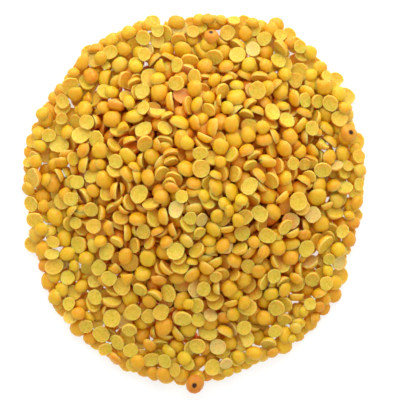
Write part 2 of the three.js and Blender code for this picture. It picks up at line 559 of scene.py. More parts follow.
@dataclass(frozen=True)
class LentilFinish:
    """The finish of one kind of half lentil: a golden dome and a paler, speckled cut face."""

    name: str
    dome: Colour
    # The dome's warmer colour: its own in warm patches and on warm grains, and painted shade towards its edge.
    dome_warm_and_shade: Colour
    face: Colour
    face_green: Colour
    # The rim's paler colour: partly the grain's own, partly a painted highlight; the pale specks share it.
    rim_and_highlight: Colour
    deep: Colour = (0.98, 0.225, 0.01)  # painted shade: the redder colour where it lies deep between others
    eye: Colour = (0.05, 0.008, 0.003)
    mottle: Pattern = Pattern(600.0, 2.0)  # coarse
    speckle: Pattern = Pattern(1400.0, 3.0)  # fine
    tones: Ramp = Ramp(0.0, 1.0, 0.9, 1.0)  # brightness, from the darkest grain to the lightest
    painted_shade_share: Ramp = Ramp(0.45, 1.0, 0.0, 0.68)  # share of the painted shade's colour, by depth between the others
    eye_edge: Ramp = Ramp(0.35, 0.65, 0.0, 1.0)
    dome_edge_shade: Ramp = Ramp(0.5, 1.0, 0.0, 0.3)  # share of the dome's warmer, darker colour towards its edge, as painted shade
    dome_patches: Ramp = Ramp(0.45, 0.72, 0.0, 0.4)  # share of the dome's warm colour, in patches
    face_middle: Ramp = Ramp(0.2, 0.85, 1.0, 0.15)  # share of the cut face's green, out to its rim
    green_patches: Ramp = Ramp(0.38, 0.6, 0.0, 1.0)
    pale_specks: Ramp = Ramp(0.5, 0.66, 0.0, 0.45)
    dark_specks: Ramp = Ramp(0.34, 0.5, 0.88, 1.0)
    # share of the rim's colour towards the cut face's edge: partly its own paler rim, partly a painted
    # highlight
    rim_and_highlight_share: Ramp = Ramp(0.84, 0.95, 0.0, 0.75)
    roughness: Ramp = Ramp(0.0, 1.0, 0.4, 0.5)  # from the dome to the cut face
    fine_relief: Ramp = Ramp(0.0, 1.0, 0.15, 0.45)  # share of the speckle in the relief, likewise
    coarse_relief: float = 0.55  # share of the mottle in the relief
    relief: float = 0.35  # millimetres
    relief_strength: float = 0.6
    refraction: float = 1.45
    shine: float = 0.42
    softness: float = 0.8  # share of the light that goes in and comes out again
    light_depth: float = 3.0  # millimetres that it goes in
    light_colour: Colour = (1.0, 0.28, 0.06)  # share of that depth for red, green and blue

    def build(self) -> bpy.types.Material:
        """Makes the material.

        Returns:
            A material that reads the grains' own attributes and Object coordinates.
        """
        wiring = Wiring(self.name)
        place = wiring.place()
        mottle, speckle = wiring.noise(place, self.mottle), wiring.noise(place, self.speckle)
        cut = wiring.attribute("cut")
        colour = wiring.mix(cut, self._dome(wiring, mottle), self._face(wiring, mottle, speckle))
        colour = wiring.scale(colour, wiring.ramp(wiring.attribute("tone"), self.tones))
        # Painted shade: the colour turns redder where a grain lies deep between the others.
        colour = wiring.mix(wiring.ramp(wiring.attribute("depth"), self.painted_shade_share), colour, self.deep)
        colour = wiring.mix(wiring.ramp(wiring.attribute("eye"), self.eye_edge), colour, self.eye)
        wiring.shade(
            {
                "Base Color": colour,
                "Roughness": wiring.ramp(cut, self.roughness),
                "IOR": self.refraction,
                "Specular IOR Level": self.shine,
                "Subsurface Weight": self.softness,
                "Subsurface Radius": self.light_colour,
                "Subsurface Scale": self.light_depth * MM,
            }
        )
        fine = wiring.math("MULTIPLY", speckle, wiring.ramp(cut, self.fine_relief))
        coarse = wiring.math("MULTIPLY", mottle, self.coarse_relief)
        wiring.bump(wiring.math("ADD", fine, coarse), self.relief * MM, self.relief_strength)
        return wiring.material

    def _dome(self, wiring: Wiring, mottle: bpy.types.NodeSocket) -> bpy.types.NodeSocket:
        """Mixes the dome's colour: darker and warmer towards its edge as painted shade, warmer in patches, and
        on some grains all over.

        Args:
            wiring: The material's nodes.
            mottle: The coarse pattern.

        Returns:
            The colour's socket.
        """
        # Painted shade: the dome turns darker and warmer towards its edge.
        edge = wiring.ramp(wiring.attribute("radial"), self.dome_edge_shade)
        warm = wiring.math("ADD", wiring.attribute("warmth"), wiring.ramp(mottle, self.dome_patches))
        return wiring.mix(wiring.math("ADD", warm, edge), self.dome, self.dome_warm_and_shade)

    def _face(
        self, wiring: Wiring, mottle: bpy.types.NodeSocket, speckle: bpy.types.NodeSocket
    ) -> bpy.types.NodeSocket:
        """Mixes the cut face's colour: greener in the middle, speckled, with a paler rim that is partly its own
        colour and partly a painted highlight.

        Args:
            wiring: The material's nodes.
            mottle: The coarse pattern.
            speckle: The fine pattern.

        Returns:
            The colour's socket.
        """
        radial = wiring.attribute("radial")
        middle = wiring.ramp(radial, self.face_middle)
        green = wiring.math("MULTIPLY", middle, wiring.ramp(mottle, self.green_patches))
        colour = wiring.mix(green, self.face, self.face_green)
        colour = wiring.mix(wiring.ramp(speckle, self.pale_specks), colour, self.rim_and_highlight)
        colour = wiring.scale(colour, wiring.ramp(speckle, self.dark_specks))
        # The paler rim: partly the grain's own colour, partly a painted highlight.
        return wiring.mix(wiring.ramp(radial, self.rim_and_highlight_share), colour, self.rim_and_highlight)


@dataclass(frozen=True)
class CoreFinish:
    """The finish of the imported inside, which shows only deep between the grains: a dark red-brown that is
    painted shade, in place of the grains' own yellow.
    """

    name: str = "packed_inside"
    # Both colours are painted shade: the dark red-brown of the shaded grains deep in the heap.
    light: Colour = (0.66, 0.17, 0.012)
    dark: Colour = (0.42, 0.08, 0.008)
    lumps: Pattern = Pattern(260.0, 3.0)
    lightening: Ramp = Ramp(0.35, 0.65, 0.0, 1.0)  # share of the light colour, by the lumps
    roughness: float = 0.8
    relief: float = 1.0  # millimetres
    relief_strength: float = 0.6

    def build(self) -> bpy.types.Material:
        """Makes the material.

        Returns:
            A material that reads Object coordinates.
        """
        wiring = Wiring(self.name)
        lumps = wiring.noise(wiring.place(), self.lumps)
        colour = wiring.mix(wiring.ramp(lumps, self.lightening), self.dark, self.light)
        wiring.shade({"Base Color": colour, "Roughness": self.roughness})
        wiring.bump(lumps, self.relief * MM, self.relief_strength)
        return wiring.material


# ---- Kinds of grain ----


class Kind(Enum):
    """The kinds of grain in the heap, each one piece of the model."""

    GOLDEN = "golden_halves"
    AMBER = "amber_halves"
    OLIVE = "olive_halves"
    PALE = "pale_halves"
    CHIPPED = "chipped_halves"
    EYED = "eyed_halves"


@dataclass(frozen=True)
class KindRule:
    """How often a kind of grain comes, its shapes and its finish."""

    kind: Kind
    share: float
    shapes: tuple[HalfShape, ...]
    finish: LentilFinish


def kind_rules() -> tuple[KindRule, ...]:
    """Lists the kinds of grain, with shares that add up to 1."""
    golden = LentilFinish(
        "golden_lentil",
        dome=(0.87, 0.575, 0.016),
        dome_warm_and_shade=(0.83, 0.41, 0.009),
        face=(0.86, 0.585, 0.042),
        face_green=(0.80, 0.57, 0.026),
        rim_and_highlight=(0.93, 0.67, 0.17),
    )
    amber = LentilFinish(
        "amber_lentil",
        dome=(0.87, 0.51, 0.014),
        dome_warm_and_shade=(0.81, 0.33, 0.008),
        face=(0.86, 0.54, 0.038),
        face_green=(0.81, 0.52, 0.026),
        rim_and_highlight=(0.92, 0.62, 0.15),
    )
    olive = LentilFinish(
        "olive_lentil",
        dome=(0.84, 0.555, 0.016),
        dome_warm_and_shade=(0.80, 0.42, 0.01),
        face=(0.82, 0.58, 0.045),
        face_green=(0.74, 0.56, 0.028),
        rim_and_highlight=(0.91, 0.67, 0.17),
    )
    pale = LentilFinish(
        "pale_lentil",
        dome=(0.87, 0.60, 0.06),
        dome_warm_and_shade=(0.82, 0.50, 0.035),
        face=(0.87, 0.61, 0.16),
        face_green=(0.84, 0.59, 0.12),
        rim_and_highlight=(0.91, 0.68, 0.23),
    )
    chipped = LentilFinish(
        "chipped_lentil",
        dome=(0.86, 0.54, 0.016),
        dome_warm_and_shade=(0.81, 0.38, 0.01),
        face=(0.87, 0.60, 0.06),
        face_green=(0.82, 0.58, 0.04),
        rim_and_highlight=(0.92, 0.67, 0.17),
    )
    eyed = LentilFinish(
        "eyed_lentil",
        dome=(0.84, 0.42, 0.02),
        dome_warm_and_shade=(0.66, 0.20, 0.02),
        face=(0.82, 0.46, 0.04),
        face_green=(0.76, 0.43, 0.03),
        rim_and_highlight=(0.88, 0.52, 0.08),
    )
    eyed_shape = HalfShape("eyed_0", ((3, 0.02, 0),), 2.1, 0.05, eye=True)
    return (
        KindRule(Kind.GOLDEN, 0.57, whole_shapes("golden"), golden),
        KindRule(Kind.AMBER, 0.15, whole_shapes("amber"), amber),
        KindRule(Kind.OLIVE, 0.16, whole_shapes("olive"), olive),
        KindRule(Kind.PALE, 0.07, whole_shapes("pale"), pale),
        KindRule(Kind.CHIPPED, 0.05, chipped_shapes(), chipped),
        KindRule(Kind.EYED, 0.0, (eyed_shape,), eyed),
    )


# ---- How the grains settle ----


@dataclass(frozen=True)
class Settled:
    """One grain that lies still."""

    kind: Kind
    shape: int
    place: np.ndarray  # the middle of its cut face
    turn: np.ndarray  # its axes, as the columns of a matrix, with the dome along the last
    half_sizes: np.ndarray
    tone: float
    warmth: float
    held: bool  # whether it keeps its place when the others slide


@dataclass(frozen=True)
class Spans:
    """What a grain fills over the map's cells, measured from the middle of its cut face."""

    rows: np.ndarray
    columns: np.ndarray
    low: np.ndarray
    high: np.ndarray
    there: np.ndarray  # whether it is over the cell at all

    def of(self, number: int) -> "Spans":
        """Picks one try."""
        return Spans(*(part[number] for part in (self.rows, self.columns, self.low, self.high, self.there)))


@dataclass(frozen=True)
class Search:
    """One round of a grain's search for a lower place, by small changes to the best so far."""

    tries: int
    wander: float  # millimetres
    tilt: float  # radians
    stride: int  # cells from one sample to the next


@dataclass(frozen=True)
class Aim:
    """Where one grain is let down, and what it keeps to."""

    spot: np.ndarray
    wander: float  # how far from the spot its first tries are
    free: float  # how far from the spot it may end
    least_inset: float  # how far its middle stays inside the foot's line
    ceiling: float  # the height that its top may not pass
    held: bool = False  # whether it keeps its place from then on
    size: float = 1.0  # of the grain, as a share of the usual


@dataclass(frozen=True)
class Lay:
    """How grains are laid on given spots, where they keep their place."""

    wander: float  # how far from its spot a grain's first tries are
    free: float  # how far from its spot it may end
    least_inset: float  # how far its middle stays inside the foot's line
    lean: float  # standard deviation of its lean, in degrees
    ceiling: float = math.inf  # the height that its top may not pass


@dataclass(frozen=True)
class Pour:
    """How grains are let down in one stage."""

    short: float  # shortfall from the wanted height under which none is let go
    over: float  # how far a grain's top may pass that height
    lean: float  # standard deviation of the lean out of the slope, in degrees
    steep: tuple[float, float]  # share of the grains that stand steep, at the crown and at the foot
    least_inset: float  # how far the grains' middles stay inside the foot's line
    room: int = 2  # cells on each side of a spot that are low too
    patience: int = 300  # misses in a row that end the stage
    tries: int = 2  # grains that a gap is offered
    size: float = 1.0  # of the grains, as a share of the usual


@dataclass
class Settling:
    """Lets grains down on a map of heights, one by one."""

    form: HeapForm
    size: GrainSize
    rules: tuple[KindRule, ...]
    rng: np.random.Generator
    cell: float = 0.3
    reach: float = 66.0  # of the map, each way from the middle
    window: int = 12  # cells that a grain reaches each way
    tries: int = 24  # first places and turns that a grain tries
    searches: tuple[Search, ...] = (
        Search(10, 0.4, 0.12, 2),
        Search(10, 0.22, 0.07, 1),
        Search(8, 0.1, 0.04, 1),
    )
    first_stride: int = 2  # cells from one sample of those to the next
    steep_range: tuple[float, float] = (48.0, 86.0)  # lean of the steep ones, in degrees
    steep_band: tuple[float, float] = (0.4, 0.8)  # shares of the way to the foot where they get rarer
    dome_up: float = 0.44  # share of the grains that are let down with the dome up
    gap_weight: float = 0.7  # of the mean gap under a grain, against its height
    outside_weight: float = 20.0  # of each millimetre outside the heap
    away_weight: float = 4.0  # of each millimetre too far from its spot
    mass_height: float = 0.375  # of the middle of mass, as a share of the thickness
    least_rise: float = 1e-3  # under which a cut face counts as upright
    warmth: tuple[float, float] = (0.35, 0.25)  # mean and standard deviation
    strays: Lay = Lay(0.2, 0.2, -4.0, 7)
    foot: Lay = Lay(0.5, 1.0, 2.2, 9, 4.3)
    eyed: Lay = Lay(0.2, 0.3, -4.0, 12)
    foot_play: float = 0.35  # share of the spacing that a grain round the foot may be off
    wander: float = 1.2  # how far from its spot a poured grain's first tries are
    fill_free: float = 9.0  # how far from its spot it may end, where it fills
    cover_free: float = 1.5  # the same, where it covers a gap
    draws: int = 14  # spots that are drawn for each grain, of which it gets the lowest
    batch: int = 40  # least number of gaps between two looks at the map
    batches: int = 30  # looks that it takes where there are many gaps
    cleared: int = 2  # cells round a gap that are taken as offered a grain too
    kept_inset: float = 2.0  # how far inside the foot's line a grain that slides must stay
    grains: list[Settled] = field(default_factory=list)

    def __post_init__(self) -> None:
        """Lays out the map."""
        count = int(round(2 * self.reach / self.cell)) + 1
        axis = np.linspace(-self.reach, self.reach, count)
        self.map_x, self.map_y = np.meshgrid(axis, axis)
        self.heights = np.full((count, count), FLOOR_GAP)
        self.inset = self.form.inset(self.map_x, self.map_y)
        self.share = self.form.share(self.map_x, self.map_y)
        self.top = np.where(self.inset > 0, self.form.top(self.share), 0)

    def _spans(self, centres: np.ndarray, turns: np.ndarray, half_sizes: np.ndarray, stride: int) -> Spans:
        """Works out what a half lentil fills over each cell, in each of its tries.

        Args:
            centres: Places of the cut face's middle, one row for each try.
            turns: The grain's axes in each try.
            half_sizes: Half length, half width and thickness.
            stride: Cells from one sample to the next.

        Returns:
            The spans of all the tries.
        """
        span = np.arange(-self.window, self.window + 1, stride)
        columns = np.rint((centres[:, 0] + self.reach) / self.cell).astype(int)[:, None] + span
        rows = np.rint((centres[:, 1] + self.reach) / self.cell).astype(int)[:, None] + span
        east = (columns * self.cell - self.reach - centres[:, :1])[:, None, :, None]
        north = (rows * self.cell - self.reach - centres[:, 1:2])[:, :, None, None]
        local = east * turns[:, None, None, 0] + north * turns[:, None, None, 1]
        up = turns[:, 2]
        scaled, scaled_up = local / half_sizes, up / half_sizes
        a = (scaled_up**2).sum(-1)[:, None, None]
        b = (scaled * scaled_up[:, None, None]).sum(-1)
        inside = b * b - a * ((scaled**2).sum(-1) - 1)
        root = np.sqrt(np.maximum(inside, 0))
        low, high = (-b - root) / a, (-b + root) / a
        rise = up[:, 2][:, None, None]
        rise = np.where(np.abs(rise) < self.least_rise, self.least_rise, rise)
        face = -local[..., 2] / rise
        low = np.where(rise > 0, np.maximum(low, face), low)
        high = np.where(rise < 0, np.minimum(high, face), high)
        return Spans(rows, columns, low, high, (inside > 0) & (high > low))

    @staticmethod
    def _turns(domes: np.ndarray, spin: np.ndarray) -> np.ndarray:
        """Completes dome directions to three axes.

        Args:
            domes: Directions of length 1, one row for each.
            spin: How far the other axes are turned about it, in radians.

        Returns:
            One matrix for each, with the dome's direction as its last column.
        """
        helper = np.where(np.abs(domes[:, :1]) < 0.8, [[1.0, 0.0, 0.0]], [[0.0, 1.0, 0.0]])
        first = np.cross(domes, helper)
        first /= np.linalg.norm(first, axis=1, keepdims=True)
        second = np.cross(domes, first)
        east = np.cos(spin)[:, None] * first + np.sin(spin)[:, None] * second
        return np.stack([east, np.cross(domes, east), domes], axis=2)

    def _leaning(self, spot: np.ndarray, leans: np.ndarray) -> np.ndarray:
        """Draws directions that lean out of the slope's normal.

        Args:
            spot: The place on the slope.
            leans: How far each of them leans, in radians.

        Returns:
            Directions of length 1, one row for each.
        """
        outward = self.form.normal_at(*map(float, spot))
        first = np.cross(outward, [0.0, 1.0, 0.0])
        first /= np.linalg.norm(first)
        side = self.rng.uniform(0, 2 * math.pi, len(leans))
        across = np.cos(side)[:, None] * first + np.sin(side)[:, None] * np.cross(outward, first)
        return np.cos(leans)[:, None] * outward + np.sin(leans)[:, None] * across

    def _lowest(
        self, aim: Aim, centres: np.ndarray, turns: np.ndarray, half_sizes: np.ndarray, stride: int
    ) -> tuple[int, float, Spans]:
        """Lets a grain down in each of its tries and picks the one that lies lowest and closest.

        Args:
            aim: What the grain keeps to.
            centres: Places of the cut face's middle, one row for each try.
            turns: The grain's axes in each try.
            half_sizes: Half length, half width and thickness.
            stride: Cells from one sample to the next.

        Returns:
            The best try's number, the height of its cut face's middle, and its spans.
        """
        spans = self._spans(centres, turns, half_sizes * (1 - self.size.give), stride)
        ground = self.heights[spans.rows[:, :, None], spans.columns[:, None, :]]
        rest = np.where(spans.there, ground - spans.low, -np.inf).max(axis=(1, 2))
        gaps = np.where(spans.there, rest[:, None, None] + spans.low - ground, 0).sum(axis=(1, 2))
        gap = gaps / np.maximum(spans.there.sum(axis=(1, 2)), 1)
        cost = rest + self.mass_height * half_sizes[2] * turns[:, 2, 2] + self.gap_weight * gap
        outside = np.maximum(aim.least_inset - self.form.inset(centres[:, 0], centres[:, 1]), 0)
        outside += np.maximum(np.abs(centres) + half_sizes[0] - self.form.half_plan, 0).sum(axis=1)
        away = np.maximum(np.hypot(*(centres - aim.spot).T) - aim.free, 0)
        best = int((cost + self.outside_weight * outside + self.away_weight * away).argmin())
        return best, float(rest[best]), spans.of(best)

    def _draw_rule(self) -> KindRule:
        """Draws a kind of grain."""
        return self.rules[int(self.rng.choice(len(self.rules), p=[rule.share for rule in self.rules]))]

    def drop(self, aim: Aim, leans: np.ndarray, rule: KindRule | None = None) -> bool:
        """Lets one grain down.

        Args:
            aim: Where it is let go, and what it keeps to.
            leans: Its lean out of the slope in each of its first tries, in radians.
            rule: Its kind, dome up, or None to draw one that lies either way.

        Returns:
            Whether it found a place.
        """
        rng = self.rng
        dome_up = rule is not None or rng.random() < self.dome_up
        rule = rule or self._draw_rule()
        half_sizes = self.size.draw(rng) * aim.size
        domes = self._leaning(aim.spot, leans) * (1 if dome_up else -1)
        turns = self._turns(domes, rng.uniform(0, 2 * math.pi, len(leans)))
        away = aim.wander * np.sqrt(rng.random(len(leans)))
        side = rng.uniform(0, 2 * math.pi, len(leans))
        centres = aim.spot + away[:, None] * np.stack([np.cos(side), np.sin(side)], axis=1)
        best, rest, spans = self._lowest(aim, centres, turns, half_sizes, self.first_stride)
        centre, turn = centres[best], turns[best]
        for search in self.searches:
            near = np.vstack([centre, centre + rng.normal(0, search.wander, (search.tries, 2))])
            domes = turn[:, 2] + rng.normal(0, search.tilt, (search.tries, 3))
            domes /= np.linalg.norm(domes, axis=1, keepdims=True)
            spins = rng.uniform(0, 2 * math.pi, search.tries)
            turns = np.concatenate([turn[None], self._turns(domes, spins)])
            best, rest, spans = self._lowest(aim, near, turns, half_sizes, search.stride)
            centre, turn = near[best], turns[best]
        if rest + spans.high[spans.there].max() > aim.ceiling:
            return False
        self._raise(spans, rest)
        self.grains.append(
            Settled(
                kind=rule.kind,
                shape=int(rng.integers(len(rule.shapes))),
                place=np.array([*centre, rest]),
                turn=turn,
                half_sizes=half_sizes,
                tone=float(rng.random()),
                warmth=float(np.clip(rng.normal(*self.warmth), 0, 1)),
                held=aim.held,
            )
        )
        return True

    def _raise(self, spans: Spans, rest: float) -> None:
        """Puts a grain into the map, with the middle of its cut face at a height."""
        region = np.ix_(spans.rows, spans.columns)
        self.heights[region] = np.maximum(self.heights[region], np.where(spans.there, rest + spans.high, 0))

    def _flat(self, spread: float) -> np.ndarray:
        """Draws the leans of a grain's first tries, in radians, near to flat."""
        return np.radians(np.abs(self.rng.normal(0, spread, self.tries)))

    def _lay(self, spot: Spot, lay: Lay, rule: KindRule | None = None) -> None:
        """Lays one grain on a spot, where it keeps its place."""
        ceiling = min(lay.ceiling, self.form.ceiling)
        aim = Aim(self.form.place(spot), lay.wander, lay.free, lay.least_inset, ceiling, held=True)
        self.drop(aim, self._flat(lay.lean), rule)

    def lay_foot(self, inset: tuple[float, float], spacing: float) -> None:
        """Lays grains on the surface round the foot, and the strays outside them.

        Args:
            inset: Least and greatest distance of their middles inside the foot's line.
            spacing: Mean distance from one to the next.
        """
        for stray in self.form.strays:
            self._lay(stray, self.strays)
        count = int(round(2 * math.pi * self.form.radius / spacing))
        for i in self.rng.permutation(count):
            angle = 2 * math.pi * (i + self.rng.uniform(-self.foot_play, self.foot_play)) / count
            distance = float(self.form.foot_radius(np.array(angle))) - self.rng.uniform(*inset)
            self._lay(Spot(math.degrees(angle), distance), self.foot)

    def lay_eyed(self) -> None:
        """Lays the grains with a dark eye, with the eye up."""
        rule = next(rule for rule in self.rules if rule.kind is Kind.EYED)
        for spot in self.form.eyed:
            self._lay(spot, self.eyed, rule)

    def _offer(self, row: int, column: int, target: np.ndarray, pour: Pour, free: float) -> bool:
        """Lets a grain down over a cell of the map, if it finds a place there.

        Args:
            row: The cell's row.
            column: Its column.
            target: The wanted height over each cell.
            pour: How grains are let down.
            free: How far from the cell the grain may end.

        Returns:
            Whether it found a place.
        """
        if self.rng.random() < np.interp(self.share[row, column], self.steep_band, pour.steep):
            leans = np.radians(self.rng.uniform(*self.steep_range, self.tries))
        else:
            leans = self._flat(pour.lean)
        ceiling = min(target[row, column] + pour.over, self.form.ceiling)
        spot = np.array([self.map_x[row, column], self.map_y[row, column]])
        return self.drop(Aim(spot, self.wander, free, pour.least_inset, ceiling, size=pour.size), leans)

    @staticmethod
    def _around(row: int, column: int, cells: int) -> tuple[slice, slice]:
        """Gives the square of the map round a cell."""
        return slice(row - cells, row + cells + 1), slice(column - cells, column + cells + 1)

    def fill(self, target: np.ndarray, pour: Pour) -> None:
        """Lets grains down where the heap falls short of a target, the lowest places first.

        Args:
            target: The wanted height over each cell.
            pour: How they are let down.
        """
        ready = np.argwhere((self.inset > pour.least_inset) & (target > 0))
        misses = 0
        while misses < pour.patience:
            draws = ready[self.rng.integers(len(ready), size=self.draws)]
            missing = [
                target[row, column] - self.heights[self._around(row, column, pour.room)].max()
                for row, column in draws
            ]
            pick = int(np.argmax(missing))
            misses += 1
            if missing[pick] >= pour.short:
                misses = 0 if self._offer(*draws[pick], target, pour, self.fill_free) else misses + 2

    def cover(self, target: np.ndarray, pour: Pour) -> None:
        """Lets grains down over every gap that is left, however narrow, so that it doesn't show.

        Args:
            target: The wanted height over each cell.
            pour: How they are let down.
        """
        offered = np.zeros(self.heights.shape, int)
        while True:
            gaps = np.argwhere((target - self.heights > pour.short) & (offered < pour.tries) & (target > 0))
            if not len(gaps):
                return
            self.rng.shuffle(gaps)
            for row, column in gaps[: max(self.batch, len(gaps) // self.batches)]:
                missing = target[row, column] - self.heights[row, column]
                if offered[row, column] < pour.tries and missing > pour.short:
                    self._offer(row, column, target, pour, self.cover_free)
                    offered[self._around(row, column, self.cleared)] += 1

    def skyline(self, room: int) -> np.ndarray:
        """Finds the height of the grains that lie highest round each cell.

        Args:
            room: How many cells away they are looked for.

        Returns:
            A smooth map of those heights.
        """
        highest = self.heights
        for blend in (np.max, np.mean):
            for axis in (0, 1):
                highest = blend([np.roll(highest, step, axis) for step in range(-room, room + 1)], axis=0)
        return highest

    def raise_core(self, core: "HeapCore") -> None:
        """Puts the core's top into the map."""
        self.heights = np.maximum(self.heights, core.top(self.top, self.inset))

    def move(self, places: list[np.ndarray], turns: list[np.ndarray], core: "HeapCore") -> None:
        """Moves the grains, lets go of those that have left the heap, and draws the map again.

        Args:
            places: The new place of each grain.
            turns: Its new axes.
            core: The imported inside.
        """
        moved = []
        for grain, place, turn in zip(self.grains, places, turns):
            reach = np.abs(place[:2]) + grain.half_sizes[0] - self.form.half_plan
            inside = float(self.form.inset(place[0], place[1])) > self.kept_inset and reach.max() < 0
            if grain.held or inside:
                moved.append(replace(grain, place=place, turn=turn))
        self.grains = moved
        self.heights[:] = FLOOR_GAP
        self.raise_core(core)
        for grain in moved:
            half_sizes = grain.half_sizes * (1 - self.size.give)
            spans = self._spans(grain.place[None, :2], grain.turn[None], half_sizes, 1).of(0)
            self._raise(spans, float(grain.place[2]))


# ---- Pieces ----


@dataclass(frozen=True)
class HeapCore:
    """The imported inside, under the grains that show."""

    form: HeapForm
    depth: float = 6.5  # of its skin below the heap's form
    inset: float = 10.0  # of its foot from the foot's line
    floor: float = 2.7  # of its skin's edge over the surface, above the grains that lie there
    thickness: float = 0.6  # at its edge
    sectors: int = 72
    rings: int = 16
    lumps: float = 0.35
    samples: int = 400  # of the way from the crown to the foot, to find its edge

    def top(self, form_top: np.ndarray, inset: np.ndarray) -> np.ndarray:
        """Gives the core's height under places, and 0 outside it.

        Args:
            form_top: The form's height over the places.
            inset: How far they lie inside the foot's line.

        Returns:
            The heights of the core's skin.
        """
        level = form_top - self.depth
        return np.where((inset > self.inset) & (level > self.floor), level, 0)

    def points(self) -> list[tuple[float, float, float]]:
        """Works out the core's points.

        Returns:
            The points of the skin, ring by ring, and of the underside.
        """
        shares = np.linspace(0, 1, self.samples)
        edge = float(shares[self.form.top(shares) - self.depth > self.floor][-1])
        rng = np.random.default_rng(SEED + 1)
        points = [(*self.form.crown, float(self.form.top(np.array(0.0))) - self.depth)]
        for share in edge * np.arange(1, self.rings + 1) / self.rings:
            level = max(float(self.form.top(share)) - self.depth, self.floor)
            for angle in 2 * math.pi * np.arange(self.sectors) / self.sectors:
                reach = float(self.form.foot_radius(angle)) * share
                x = self.form.shift[0] + self.form.crown[0] * (1 - share) + reach * math.cos(angle)
                y = self.form.shift[1] + self.form.crown[1] * (1 - share) + reach * math.sin(angle)
                points.append((x, y, level - rng.uniform(0, self.lumps)))
        under = self.floor - self.thickness
        points += [(x, y, under) for x, y, _ in points[-self.sectors :]]
        points.append((*self.form.crown, under))
        return points

    def mesh(self, scale: float) -> bpy.types.Mesh:
        """Makes the core's mesh at a scale."""
        points = self.points()
        return new_mesh("heap_core", np.array(points) * scale, self._faces(len(points)))

    def build(self) -> bpy.types.Object:
        """Makes the core.

        Returns:
            A closed lumpy body, set back from the heap's form on all sides.
        """
        mesh = self.mesh(MM)
        mesh.shade_smooth()
        mesh.materials.append(CoreFinish().build())
        return put_in_scene("heap_core", mesh)

    def _faces(self, points: int) -> list[tuple[int, ...]]:
        """Joins the rings, the rim and the underside.

        Args:
            points: How many points there are.

        Returns:
            Faces that point outwards.
        """
        count = self.sectors
        faces: list[tuple[int, ...]] = []
        for i in range(count):
            j = (i + 1) % count
            faces.append((0, 1 + i, 1 + j))
            for ring in range(self.rings):
                inner, outer = 1 + ring * count, 1 + (ring + 1) * count
                faces.append((inner + i, outer + i, outer + j, inner + j))
            last = 1 + self.rings * count
            faces.append((last + j, last + i, points - 1))
        return faces


